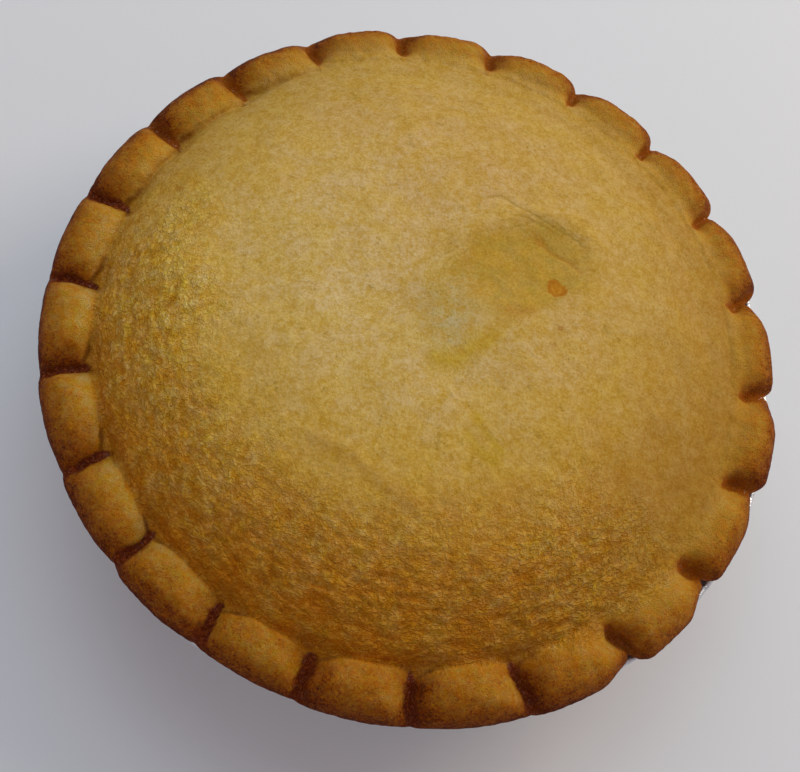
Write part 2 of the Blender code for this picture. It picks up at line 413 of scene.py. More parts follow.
def lobeFullness(angle, inward):
    before, after = placeInCrimp(angle)[1:]
    floor = crust["grooveHalfWidth"] * (1.0 + 1.2 * inward ** 4)
    spread = 1.0 + 0.9 * inward ** 3
    start = superellipse(1.0 - (before - floor) / (crust["gentleWall"] * spread), *crust["wallRound"])
    end = superellipse(1.0 - (after - floor) / (crust["steepWall"] * spread), *crust["wallRound"])
    return start * end


def towards(x, y, radius, side):
    # 1 where a point lies in this direction from the middle, -1 opposite it
    return (x * side[0] + y * side[1]) / np.maximum(radius, 0.001)


def edgeRadius(angle):
    number, before, after = placeInCrimp(angle)
    out = 0.3 * smoothStep(0.0, crust["notchNose"], before)
    out = out + 0.7 * smoothStep(0.0, crust["notchLead"], before)
    out = out * superellipse(1.0 - after / crust["notchEnd"], *crust["wallRound"])
    nearest = np.where(before < after, number, (number + 1) % crust["crimps"])
    deep = np.isin(nearest, crust["deepNotches"])
    openShare = smoothStep(0.1, 0.8, towards(np.cos(angle), np.sin(angle), 1.0, crust["openSide"]))
    notch = crust["notch"] + crust["deepNotchExtra"] * deep + crust["openNotch"] * openShare * (1.0 - deep)
    reach = lobeReaches[number] + crust["openReach"] * openShare
    radius = lipRadius + reach * out - notch * (1.0 - out)
    for times, size, direction in crust["edgeWaves"]:
        radius = radius + size * np.cos(times * angle - math.radians(direction))
    fullest, width = crust["fullestDeg"]
    return radius + crust["fullestReach"] * hump(np.degrees(angle) % 360.0 - fullest, width)


def facesBurntShadedSide(angle):
    # how a lobe's start looks to the burnt and shaded side, -1 to 1, and the same from 0 (its end) to 1 (its
    # start)
    facing = crust["burntShadedSide"][1] * np.cos(angle) - crust["burntShadedSide"][0] * np.sin(angle)
    return facing, smoothStep(-0.35, 0.35, facing)


def cornerCut(angle, before, after):
    # how far outside the crease a lobe begins, near its two ends
    startShare = facesBurntShadedSide(angle)[1]
    cut = np.zeros(len(angle))
    for way, share in ((before, startShare), (after, 1.0 - startShare)):
        depth = between(crust["smallCorner"][0], crust["bigCorner"][0], share)
        reach = between(crust["smallCorner"][1], crust["bigCorner"][1], share)
        cut += depth * np.exp(-(way / reach) ** 1.6)
    return cut


def rimHeight(angle, outward):
    number, before, after = placeInCrimp(angle)
    crown = crust["lobeCrown"] * (np.sin(math.pi * before / (before + after)) - 0.6)
    crest = crust["lobeHeight"] + lobeLifts[number] + crown
    top = crust["lobeCrest"]
    cut = cornerCut(angle, before, after) / (lipRadius - creaseRadius)
    innerShare = superellipse(1.0 - (outward - cut) / (top - cut), *crust["innerRound"])
    inner = between(creaseHeight, crest, innerShare)
    outerShare = superellipse((outward - top) / (1.0 - top), *crust["outerRound"])
    outer = between(lipEdge, crest, outerShare)
    lobe = np.where(outward < top, inner, outer)
    floor = between(crust["grooveInner"], crust["grooveOuter"], smoothStep(0.0, 0.9, outward))
    floor = between(lipEdge - 0.0004, floor, superellipse(outward, *crust["floorRound"]))
    return between(floor, lobe, lobeFullness(angle, 1.0 - outward))


def dentShare(x, y):
    # along and across the dent, and 0 in its middle, 1 at its edge
    turn = math.radians(crust["dentTurnDeg"])
    right = x - crust["dentCentre"][0]
    up = y - crust["dentCentre"][1]
    along = (right * math.cos(turn) + up * math.sin(turn)) / crust["dentHalfLength"]
    across = (up * math.cos(turn) - right * math.sin(turn)) / crust["dentHalfWidth"]
    return along, across, np.hypot(along, across)


def domeHeight(x, y):
    share = np.hypot(x, y) / creaseRadius
    waves = [noise.noise(Vector((a, b, 0.31)) / 0.018) + 0.5 * noise.noise(Vector((a, b, 0.77)) / 0.008)
             for a, b in zip(x, y)]
    along, across, reach = dentShare(x, y)
    hollow = crust["dentDepth"] * (1.0 - smoothStep(crust["dentFloor"], 1.1, reach))
    farSide = smoothStep(-0.2, 0.7, (along + across) / 1.4)
    fold = crust["foldHeight"] * hump(reach - 1.12, 0.16) * farSide
    uneven = crust["domeWaves"] * np.array(waves) - hollow + fold
    uneven = uneven * (1.0 - smoothStep(0.8, 1.0, share))
    dip = (creaseHeight - crust["grooveInner"]) * (1.0 - lobeFullness(np.arctan2(y, x), 1.0))
    dip = dip * smoothStep(1.0 - crust["junctionReach"], 1.0, share)
    return plainDome(np.hypot(x, y)) + uneven - dip


def evenSteps(section, step):
    # the section's points spread evenly along it
    along = np.concatenate(([0.0], np.cumsum(np.hypot(*np.diff(section, axis=0).T))))
    places = np.linspace(0.0, along[-1], max(int(round(along[-1] / step)), 1) + 1)
    return [(np.interp(p, along, section[:, 0]), np.interp(p, along, section[:, 1])) for p in places]


def rimSection():
    # underside of the lip, round its edge and over the middle of a lobe to the crease
    turn = np.linspace(0.0, math.pi / 2, 30)
    tuck = crust["lipTuck"]
    rise = lipEdge - crust["lipBottom"]
    under = np.stack((lipRadius - tuck * (1.0 - np.sin(turn)),
                      lipEdge - rise * np.cos(turn)), axis=1)
    outward = np.cos(np.linspace(0.0, math.pi / 2, 300))
    middle = np.full(300, (crimpAngles[3] + crimpAngles[4]) / 2)
    top = np.stack((between(creaseRadius, lipRadius, outward),
                    rimHeight(middle, outward)), axis=1)
    return np.concatenate((under[:-1], top))


def underSection():
    bottom = crust["bottom"]
    return [(0.0, bottom), (0.03, bottom), (crust["baseRadius"] - 0.0022, bottom),
            (crust["baseRadius"], bottom + 0.0015), (0.0742, 0.0150), (0.0800, 0.0285),
            (crust["neckRadius"], crust["neckHeight"])]


def spinPie():
    rim = evenSteps(rimSection(), pieMesh["rimStep"])
    under = underSection()
    pieces = [spinProfile("pieUnder", under, pieMesh["underSteps"]),
              spinProfile("pieRim", rim, pieMesh["rimSteps"])]
    seams = [(under[-1], rim[0])]
    last = rim[-1]
    for number, (steps, start, end, step) in enumerate(pieMesh["lidZones"]):
        radii = np.linspace(start, end, int(round((start - end) / step)) + 1)
        section = list(zip(radii, plainDome(radii)))
        pieces.append(spinProfile("pieLid" + str(number), section, steps))
        seams.append((last, section[0]))
        last = section[-1]
    pole = [(0.0030, last[1] + 1e-5), (0.0015, last[1] + 2e-5), (0.0, last[1] + 3e-5)]
    pieces.append(spinProfile("pieTop", pole, pieMesh["poleSteps"]))
    seams.append((last, pole[0]))
    whole = joinAndBridge(pieces, seams)
    whole.name = "bakedPie"
    return whole


bakedPie = spinPie()
print("pie blank:", len(bakedPie.data.vertices), "points")


# Relief, browning and painted light and shade of the pie

marks = {                           # lines on the lid, in millimetres from its middle: first the dent's folds
    "outer": ((9.7, 30.1), (17.3, 31.5), (25.4, 27.2), (36.4, 21.6), (37.3, 19.0)),
    "inner": ((16.4, 26.5), (23.3, 26.5), (29.4, 23.9), (33.6, 21.8)),
    "split": ((25.1, 22.0), (29.7, 17.7), (34.5, 15.4), (37.4, 11.4)),
    "ridge": ((-26.5, -29.8), (-16.0, -34.6), (-8.4, -41.6), (2.7, -46.8)),
    "arc": ((-7.1, -54.9), (-0.1, -54.5), (4.4, -58.8)),
    "yellowStreak": ((0.8, -12.0), (5.6, -12.4), (14.0, -5.7)),
    "longSmear": ((10.2, -24.7), (12.2, -28.2), (15.9, -32.3)),
    "shortSmear": ((8.6, -28.8), (10.2, -31.9), (14.3, -34.7)),
    "tanSmear": ((-24.9, -31.3), (-17.1, -35.8), (-9.2, -40.9), (4.6, -47.1)),
    "brownSmear": ((18.0, 1.2), (23.5, 1.8)),
}
redSpot = (29.9, 8.4)
paleSpots = ((4.5, -4.0, 0.8, 6.6, 1.0), (4.0, 6.0, 1.0, 5.0, 0.6))     # place, squeeze, radius, strength
rustSpots = (                       # place, radius and strength
    (30.4, -2.1, 0.8, 0.7), (28.6, -6.3, 0.7, 0.6), (43.4, 8.7, 0.8, 0.4),
    (26.6, 20.6, 1.4, 0.5), (-58.0, 32.5, 0.9, 0.8),
)
relief = {
    "wrinkledSide": (-0.545, -0.839),
    "wrinkledFrom": 0.0340,         # radius where the wrinkles start
    "wrinkledTo": 0.0680,
    "wrinkledRound": (-0.20, 0.55), # how far round, from 1 on that side to -1 opposite it
    "wrinkledFray": (0.004, 0.15),  # how ragged those two limits are
    "wrinkleHeight": 0.00034,
    "wrinkles": ((21, 0.0013, 0.0028, 1.0), (22, 0.0009, 0.0016, 0.5)), # seed, width, length and strength
    "cracks": (23, 0.0026, 0.0060),
    "grainHeight": 0.00005,
    "grain": ((24, 0.0016, 1.0), (25, 0.0034, 0.6)),                    # seed, size and strength
    "ridgeHeight": 0.00022,
    "foldDepth": 0.00011,
    "splitDepth": 0.00028,
    "lobeHeight": 0.00026,
    "lobeGrain": ((31, 0.0042, 1.0), (32, 0.0020, 0.8), (35, 0.0010, 0.3)),
    "floorHeight": 0.00022,
    "creaseDepth": 0.00070,
    "creaseWidth": 0.0007,
    "lipDepth": 0.00018,
    "mergeSide": (0.906, 0.423),    # on this side the lid runs into the lobes without a crease
    "mergeShare": 0.85,
    "mergeStart": 0.0690,           # from this radius of the lid
    "mergeEnd": 0.0808,             # to this radius of the rim
    "crimpWander": 0.0009,          # how far a crimp strays from its straight line
    "shiftFrom": 0.058,             # from this radius the lid gives way to the lobes on the left
    "ringRadius": 0.060,            # the lid's noises are drawn out round the pie
    "colourRingRadius": 0.046,
    "ringSlope": 0.3,
}


def stackedGrain(points, layers):
    total = 0.0
    for seed, size, strength in layers:
        total = total + strength * Grain(seed).at(points / size)
    return total


def wayFrom(x, y, name):
    # distance to a mark in millimetres, less than 0 on its right, and where along it, 0 to 1
    points = np.array(marks[name]) / 1000
    nearest = np.full(len(x), 1.0)
    side = np.ones(len(x))
    along = np.zeros(len(x))
    for number, (start, end) in enumerate(zip(points, points[1:])):
        run = end - start
        right = x - start[0]
        up = y - start[1]
        reach = (right * run[0] + up * run[1]) / (run @ run)
        share = np.clip(reach, 0.0, 1.0)
        gap = np.hypot(right - share * run[0], up - share * run[1])
        closer = gap < nearest
        nearest = np.where(closer, gap, nearest)
        side = np.where(closer, np.sign(run[0] * up - run[1] * right), side)
        along = np.where(closer, (number + share) / (len(points) - 1), along)
    return 1000 * nearest * side, along


def nearMark(x, y, name, width):
    # 1 on a mark, fading over a width in millimetres
    return hump(wayFrom(x, y, name)[0], width)


def fadeEnds(along):
    return plateau(0.0, 0.25, 0.75, 1.0, along)


lidBake = {
    "palest": (-0.002, 0.016),
    "paleReach": 0.014,
    "brownReach": 0.0945,
    "toastySideDeg": 224.0,
    "toastyFrom": -0.060,
    "toastyTo": 0.041,
    "toastyRim": 0.040,
}
rimBake = {                         # browning with painted light and shade: 0 golden, 1 nearly black
    "places": (0.0, 0.2, 0.4, 0.6, 0.75, 0.88, 0.96, 1.0),              # from the crease out to the edge
    "toast": (0.06, 0.17, 0.34, 0.44, 0.53, 0.64, 0.75, 0.88),
    "tuck": 0.88,
    "grain": ((41, 0.0060, 0.09), (42, 0.0026, 0.08), (46, 0.0012, 0.06)),
    "ragged": ((44, 0.0030, 1.1), (45, 0.0012, 0.9)),
    "burnsAndShade": ((1.8, 0.62), (4.5, 0.40), (10.0, 0.20)),                  # millimetres from a crimp, strength
    "farBurn": (1.6, 0.35),
    "floorWidth": (0.0017, 0.0016), # this and the next three: where there is no crease, and where it is sharp
    "floorStart": (0.10, 0.0),
    "rimStart": (0.0765, 0.0764),   # from this radius the lid's colour gives way to the rim's
    "rimFull": (0.0860, 0.0784),
    # painted light: the lobes on the left are lighter, as they face away from the light
    "paintedLightLeftDeg": (180.0, 12.0),   # direction and width
    "paintedLightLeft": 0.18,
    "paleRightDeg": (308.0, 20.0),
    "paleRight": 0.16,
    "brownFarDeg": (124.0, 18.0),
    "brownFar": 0.26,
    "brownNearDeg": (232.0, 30.0),
    "brownNear": 0.12,
}


def roundGrain(skin, seed, width, length):
    # noise drawn out round the pie
    return Grain(seed).at(onRing(skin.angle, relief["ringRadius"] / length, skin.climb / width))


class PieSkin:
    # the pie's points, with what its relief and its browning both need
    def __init__(self, mesh, x, y, angle, outward, lid, top, tuck):
        self.mesh, self.x, self.y = mesh, x, y
        self.angle, self.outward = angle, outward
        self.lid, self.top, self.tuck = lid, top, tuck
        self.base = readSpots(mesh)
        self.radius = np.hypot(x, y)
        self.climb = self.radius - relief["ringSlope"] * self.base[:, 2]
        self.number, self.before, self.after = placeInCrimp(angle)
        self.toSide = (x * crust["burntShadedSide"][0] + y * crust["burntShadedSide"][1]) / creaseRadius
        fray, roundFray = relief["wrinkledFray"]
        slow = Grain(11).at(self.base / 0.014)
        toWrinkled = towards(x, y, self.radius, relief["wrinkledSide"])
        crescent = smoothStep(relief["wrinkledFrom"], relief["wrinkledTo"], self.radius + fray * slow)
        self.crescent = crescent * smoothStep(*relief["wrinkledRound"], toWrinkled + roundFray * slow)
        self.wrinkle = -0.9 * hump(roundGrain(self, *relief["cracks"]), 0.10)
        for *grain, strength in relief["wrinkles"]:
            self.wrinkle += strength * roundGrain(self, *grain)
        self.inward = creaseInward(angle)
        strayed = creaseRadius - 0.0004 * Grain(36).at(self.base / 0.006)
        self.fromCrease = self.radius + self.inward - strayed
        merged = towards(x, y, self.radius, relief["mergeSide"])
        self.creased = 1.0 - smoothStep(-0.35, 0.15, merged)
        self.cut = cornerCut(angle, self.before, self.after)
        self.cornerShare = np.clip(self.cut / 0.0015, 0.0, 1.0)
        self.lines = {name: wayFrom(x, y, name) for name in ("outer", "inner", "split")}

    def store(self, name, values):
        # a mask that the material reads
        mask = self.mesh.attributes.new(name, "FLOAT", "POINT")
        mask.data.foreach_set("value", values.astype(np.float32))


def crimpStray(points):
    # how far the crimps stray from their straight lines here, as an angle
    return relief["crimpWander"] * Grain(12).at(points / 0.0070) / lipRadius


def shapePie(piece):
    mesh = piece.data
    blank = readSpots(mesh)
    radius, angle, height = polar(blank)
    lid = (radius < creaseRadius - 1e-6) & (height > lipEdge)
    top = ~lid & (height >= lipEdge - 1e-6)
    tuck = ~lid & ~top & (height > crust["neckHeight"] + 1e-6)
    rimWidth = lipRadius - creaseRadius
    outward = np.clip((radius - creaseRadius) / rimWidth, 0, 1)
    wander = angle + crimpStray(blank) - crimpSlant(angle, outward)
    lipStray = crimpStray(onRing(angle, lipRadius))
    edge = edgeRadius(angle + lipStray - crimpSlant(angle, 1.0))
    inward = creaseInward(angle)
    shift = inward * smoothStep(relief["shiftFrom"], creaseRadius, radius)
    shape = np.where(lid, radius - shift, radius)
    shape[top] = between(creaseRadius - inward[top], edge[top], outward[top])
    shape[tuck] = radius[tuck] + edge[tuck] - lipRadius
    height[top] = rimHeight(wander[top], outward[top])
    height[lid] = domeHeight(blank[lid, 0], blank[lid, 1])
    x, y = onRing(angle, shape)[:, :2].T
    height = np.where(lid | top, mergeLobes(x, y, shape, height), height)
    centre = np.where((lid | top | tuck)[:, None], crust["middle"], tin["middle"]).T
    writeSpots(mesh, np.stack((x + centre[0], y + centre[1], height), axis=1))
    skin = PieSkin(mesh, x, y, wander, outward, lid, top, tuck)
    addRelief(skin)
    brownRim(skin)
    brownLid(skin)
    markLid(skin)


def mergeLobes(x, y, radius, height):
    # fills the crease where the lid runs on into the lobes
    start = relief["mergeStart"]
    end = relief["mergeEnd"]
    share = relief["mergeShare"] * smoothStep(-0.15, 0.25, towards(x, y, radius, relief["mergeSide"]))
    share = share * plateau(start - 0.002, start + 0.004, end - 0.003, end + 0.002, radius)
    slope = between(plainDome(start), crust["lobeHeight"], (radius - start) / (end - start))
    return between(height, np.maximum(height, slope), share)


def lidLift(skin):
    # wrinkles and grain, the dent's folds, the split and the long ridge
    lift = relief["wrinkleHeight"] * skin.wrinkle * (0.12 + 0.88 * skin.crescent)
    lift = lift + relief["grainHeight"] * stackedGrain(skin.base, relief["grain"])
    way, along = skin.lines["outer"]
    foldLine = (hump(way, 0.8) - 0.9 * hump(way - 1.3, 0.8)) * fadeEnds(along)
    way, along = skin.lines["inner"]
    foldLine = foldLine + 0.8 * hump(way, 0.8) * fadeEnds(along)
    way, along = skin.lines["split"]
    lift = lift - relief["splitDepth"] * hump(way, 0.7) * fadeEnds(along)
    lift = lift + relief["ridgeHeight"] * nearMark(skin.x, skin.y, "ridge", 1.5)
    return lift - relief["foldDepth"] * foldLine


def rimLift(skin):
    # crumbly lobes, and bubbles on the crimps' floors
    full = lobeFullness(skin.angle, 1.0 - skin.outward)
    lobe = relief["lobeHeight"] * stackedGrain(skin.base, relief["lobeGrain"]) * full
    lobe = lobe * (1.0 - smoothStep(0.8, 1.0, skin.outward))
    bubble = Grain(33).at(skin.base / 0.0012) - 0.6
    floor = relief["floorHeight"] * bubble * (1.0 - full)
    return lobe + floor * (1.0 - smoothStep(0.85, 1.0, skin.outward))


def addRelief(skin):
    normals = readNormals(skin.mesh)
    lift = np.where(skin.lid, lidLift(skin), 0.0) + np.where(skin.top, rimLift(skin), 0.0)
    crease = relief["creaseDepth"] * skin.creased * (0.35 + 0.65 * skin.cornerShare)
    crease = crease * hump(skin.fromCrease - 0.5 * skin.cut, relief["creaseWidth"])
    lift -= np.where(skin.lid | skin.top, crease, 0.0)
    lip = np.abs(Grain(34).at(skin.base / 0.0022)) * smoothStep(0.85, 1.0, skin.outward)
    lift -= np.where(skin.top | skin.tuck, relief["lipDepth"] * lip, 0.0)
    writeSpots(skin.mesh, np.clip(skin.base + normals * lift[:, None], *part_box("pie")))


def burnAndShadeShare(skin, ragged):
    # how dark the lobes are beside their crimps: burnt, with painted shade on the ends that face the shaded
    # side
    facing, startShare = facesBurntShadedSide(skin.angle)
    way = 1000 * between(skin.after, skin.before, np.round(startShare))
    way = np.maximum(way + 0.9 * ragged - 0.6, 0.0)
    unburntUnshaded = 1.0
    for reach, strength in rimBake["burnsAndShade"]:
        unburntUnshaded = unburntUnshaded * (1.0 - strength * hump(way, reach))
    burnAndShade = (1.0 - unburntUnshaded) * (0.30 + 0.70 * smoothStep(0.0, 0.40, skin.outward + 0.08 * ragged))
    # painted shade: stronger towards the shaded side and on the ends that face it
    burnAndShade *= between(0.62, 1.0, smoothStep(0.1, 0.9, skin.toSide)) * smoothStep(0.05, 0.6, np.abs(facing))
    farWay = 1000 * between(skin.before, skin.after, np.round(startShare))
    reach, strength = rimBake["farBurn"]
    return 1.0 - (1.0 - burnAndShade) * (1.0 - strength * hump(farWay + 0.5 * ragged, reach))


def rimToastAndLight(skin):
    # browning from the crease out to the edge, and how it changes round the pie, with painted light on the
    # left and on the outer half of the near side
    outward = skin.outward
    around = np.degrees(skin.angle) % 360.0

    def inDirection(name):
        middle, width = rimBake[name]
        return hump(around - middle, width)

    toast = np.interp(outward, rimBake["places"], rimBake["toast"])
    farShare = 0.72 + 0.32 * smoothStep(0.5, 0.85, outward)
    toast = toast * between(farShare, 1.06, smoothStep(-0.9, 0.5, skin.toSide))
    inMiddle = plateau(0.0, 0.2, 0.8, 1.0, outward)
    # painted light on the left, where the lobes face away from the light
    pale = 0.08 * smoothStep(0.3, 1.0, -np.cos(skin.angle)) + rimBake["paintedLightLeft"] * inDirection("paintedLightLeftDeg")
    toast -= inMiddle * pale
    pale = rimBake["paleRight"] * inDirection("paleRightDeg")
    toast -= pale * (1.0 - 0.6 * smoothStep(0.9, 1.0, outward))
    toast += rimBake["brownFar"] * inDirection("brownFarDeg") * smoothStep(0.6, 0.85, outward)
    toast += rimBake["brownNear"] * inDirection("brownNearDeg") * hump(outward - 0.80, 0.10)
    # on the near side: browner by the crease, and painted light on the outer half, whose faces turn down away
    # from the light
    lowSide = smoothStep(0.6, 0.95, -np.sin(skin.angle))
    toast += 0.24 * lowSide * hump(outward - 0.18, 0.17)
    return toast - 0.08 * lowSide * hump(outward - 0.68, 0.14)


def brownRim(skin):
    outward, creased = skin.outward, skin.creased
    onRim = skin.top | skin.tuck
    ragged = stackedGrain(skin.base, rimBake["ragged"])
    burnAndShade = burnAndShadeShare(skin, ragged)
    spread = stackedGrain(skin.base, rimBake["grain"]) + lobeTans[skin.number]
    browningAndShading = 1.0 - (1.0 - rimToastAndLight(skin)) * (1.0 - burnAndShade) + spread * smoothStep(0.0, 0.3, outward)
    browningAndShading = np.where(skin.tuck, rimBake["tuck"], np.where(skin.top, browningAndShading, 0.0))
    skin.store("browningAndShading", np.clip(browningAndShading, 0.0, 1.0))

    # the sticky floors of the crimps, darker on the shaded side as painted shade
    nearest = np.minimum(skin.before, skin.after)
    floorWidth = between(*rimBake["floorWidth"], creased) + 0.0008 * Grain(43).at(skin.base / 0.0030)
    floorWidth = np.maximum(floorWidth, 0.0004) * (0.65 + 0.50 * outward)
    floorStart = between(*rimBake["floorStart"], creased)
    floorEnds = smoothStep(floorStart - 0.06, floorStart + 0.18, outward + 0.05 * ragged)
    skin.store("crimp", np.where(onRim, hump(nearest, floorWidth) * floorEnds, 0.0))
    skin.store("shaded", smoothStep(-0.2, 0.55, skin.toSide))

    # the rim's share of the colour, and painted shade in the crease, deepest at the lobes' cut corners
    rimWay = skin.radius + skin.inward - skin.cut * creased + 0.0005 * ragged
    rimStart = between(*rimBake["rimStart"], creased)
    rimShare = smoothStep(rimStart, between(*rimBake["rimFull"], creased), rimWay)
    # where the ends are burnt and painted with shade, the rim's colour reaches further in
    burntShadedTop = np.clip(1.4 * burnAndShade, 0.0, 1.0) * np.where(skin.top, 1.0, 0.0)
    rimShare = 1.0 - (1.0 - rimShare) * (1.0 - burntShadedTop)
    skin.store("rim", np.where(skin.tuck, 1.0, rimShare))
    creaseShade = hump(skin.fromCrease - skin.cut + 0.0002 - 0.0002 * ragged, 0.0008)
    creaseShade = creaseShade * (0.12 + 0.60 * skin.cornerShare) * creased * (1.0 + 0.30 * ragged)
    skin.store("creaseShade", np.where(skin.lid | skin.top, np.clip(creaseShade, 0.0, 1.0), 0.0))


def brownLid(skin):
    # pale near its middle, browner away from it
    paleWay = np.hypot(skin.x - lidBake["palest"][0], skin.y - lidBake["palest"][1])
    skin.store("bake", smoothStep(lidBake["paleReach"], lidBake["brownReach"], paleWay))
    toastyTurn = math.radians(lidBake["toastySideDeg"])
    toastyWay = skin.x * math.cos(toastyTurn) + skin.y * math.sin(toastyTurn)
    toastyWay -= lidBake["toastyRim"] * smoothStep(0.050, 0.074, skin.radius)
    skin.store("toasty", smoothStep(lidBake["toastyFrom"], lidBake["toastyTo"], toastyWay))
    skin.store("crescent", skin.crescent)
    # where the wrinkles rise, for their painted highlight and their painted shade
    skin.store("crest", 0.5 + 0.35 * skin.wrinkle)
    ring = onRing(skin.angle, relief["colourRingRadius"], skin.climb)
    ringPlace = skin.mesh.attributes.new("ringPlace", "FLOAT_VECTOR", "POINT")
    ringPlace.data.foreach_set("vector", ring.astype(np.float32).ravel())


def markLid(skin):
    x, y = skin.x, skin.y

    def storeOnLid(name, values, elsewhere=0.0):
        skin.store(name, np.where(skin.lid, values, elsewhere))

    def wayTo(place):
        return np.hypot(x - place[0] / 1000, y - place[1] / 1000)

    along, across, reach = dentShare(x, y)
    wobble = 0.16 * Grain(51).at(skin.base / 0.007)
    storeOnLid("dentReach", reach + wobble, 9.0)
    storeOnLid("folds", smoothStep(-0.5, 0.5, across + 0.5 * along) * hump(reach - 1.08, 0.30))
    storeOnLid("spotWay", 1000 * wayTo(redSpot) * (1.0 + 0.25 * Grain(52).at(skin.base / 0.003)), 99.0)
    pale = 0.0
    for spotX, spotY, flatness, spotRadius, strength in paleSpots:
        way = np.hypot(x - spotX / 1000, (y - spotY / 1000) * flatness)
        pale = pale + strength * hump(way, spotRadius / 1000)
    storeOnLid("pale", np.clip(pale, 0.0, 1.0))
    yellow = 0.9 * nearMark(x, y, "yellowStreak", 2.4) + 0.9 * nearMark(x, y, "longSmear", 1.1)
    yellow += 0.8 * nearMark(x, y, "shortSmear", 1.5)
    storeOnLid("yellow", np.clip(yellow, 0.0, 1.0))
    rust = 0.45 * nearMark(x, y, "brownSmear", 1.6) + 0.25 * nearMark(x, y, "tanSmear", 2.2)
    rust += 0.35 * nearMark(x, y, "arc", 1.0)
    for *place, spotRadius, strength in rustSpots:
        rust += strength * (1.0 - smoothStep(0.6, 1.2, 1000 * wayTo(place) / spotRadius + wobble))
    storeOnLid("rust", np.clip(rust, 0.0, 1.0))
    for name in ("outer", "inner", "split"):
        way, lineAlong = skin.lines[name]
        skin.store(name + "Way", way)
        storeOnLid(name + "Line", fadeEnds(lineAlong) * hump(way, 2.5))


tin = {                             # it carries the pie, so its middle is used there too
    "middle": (0.0008, 0.0),
    "baseRadius": 0.0690,
    "mouthRadius": 0.0838,
    "flangeHeight": 0.0308,
    "edgeRadius": 0.0881,
    "rollRadius": 0.0009,
    "foil": 0.00012,                # thickness of the wall that shows
    "flutes": 66,
    "fluteDepth": 0.0010,
    "steps": 792,
    "dents": ((61, 0.011, 0.00016), (62, 0.003, 0.00006)),      # seed, size and strength
    "crinkles": 60,                 # how closely the rolled edge is crinkled
    "rollCrinkle": 0.00022,
    "rollWave": 0.00020,
    "flangeWave": 0.00005,
}
shapePie(bakedPie)
print("pie shaped:", [round(1000 * side, 1) for side in bakedPie.dimensions], "mm")


# The pie's material

crustColours = {
    # the lid
    "plainStops": ((0.0, (0.565, 0.339, 0.094)), (0.5, (0.521, 0.317, 0.067)), (1.0, (0.400, 0.196, 0.023))),
    "toastyStops": ((0.0, (0.710, 0.491, 0.157)), (0.5, (0.648, 0.387, 0.064)), (1.0, (0.432, 0.144, 0.005))),
    "smudge": (0.400, 0.145, 0.010),
    # speck: brown specks, also used as painted shade along the dent's folds
    "speck": (0.330, 0.190, 0.016),
    "pore": (0.170, 0.110, 0.025),
    # the dent and the marks
    "halo": (0.565, 0.345, 0.058),
    # olive: the dent's patch, darkened as painted shade in its hollow
    "olive": (0.430, 0.265, 0.024),
    "ochre": (0.530, 0.296, 0.024),
    "ash": (0.540, 0.390, 0.120),
    "yolk": (0.560, 0.340, 0.018),
    "rust": (0.420, 0.165, 0.014),
    "spotEdge": (0.455, 0.155, 0.006),
    "spotCore": (0.560, 0.225, 0.016),
    # the rim and its crimps
    "rimStops": (
        (0.00, (0.650, 0.385, 0.066)),
        (0.20, (0.580, 0.292, 0.034)),
        (0.42, (0.485, 0.178, 0.013)),
        (0.60, (0.370, 0.116, 0.007)),
        (0.78, (0.235, 0.050, 0.004)),
        (1.00, (0.085, 0.013, 0.003)),
    ),
    # painted shade: in the crease, and darker still at the lobes' cut corners
    "crease": (0.230, 0.080, 0.008),
    "corner": (0.120, 0.026, 0.004),
    # the crimps' floors: glaze and bubbles with painted shade on the shaded side, the pocket colour on the
    # other
    "glaze": (0.130, 0.020, 0.004),
    "bubble": (0.260, 0.058, 0.010),
    "pocket": (0.350, 0.090, 0.003),
}
crustPatches = {                    # noise: scale, detail and roughness; where a patch starts and is full
    "smudge": (230, 3.0, 0.6, 0.54, 0.68),
    "speck": (210, 4.0, 0.75, 0.60, 0.68),
    "ochre": (240, 4.0, 0.7, 0.40, 0.60),
    "crinkled": (150, 2.0, 0.5, 0.42, 0.58),
    "glow": (380, 5.0, 0.85, 0.38, 0.62),
    "honey": (170, 3.0, 0.65, 0.40, 0.60),
    "amber": (240, 4.0, 0.7, 0.40, 0.60),
    "gold": (560, 4.0, 0.7, 0.38, 0.62),
    "glint": (1900, 2.0, 0.5, 0.60, 0.68),
}
crustTints = {                      # these multiply a colour: the dark one, then the light one
    "wrinkles": ((1.46, 1.73, 1.90), (1.06, 0.95, 0.56)),       # here the bumps first: a painted highlight on the bumps, browning with painted shade in the valleys
    "fine": ((0.87, 0.78, 0.40), (1.13, 1.21, 1.62)),
    "glow": ((0.98, 0.93, 0.46), (1.02, 1.07, 1.80)),
    "honey": ((1.00, 1.01, 1.15), (1.00, 0.99, 0.84)),
    "amber": ((1.035, 0.955, 0.80), (0.975, 1.045, 1.18)),
    "gold": ((1.05, 0.93, 0.72), (0.97, 1.06, 1.20)),
}


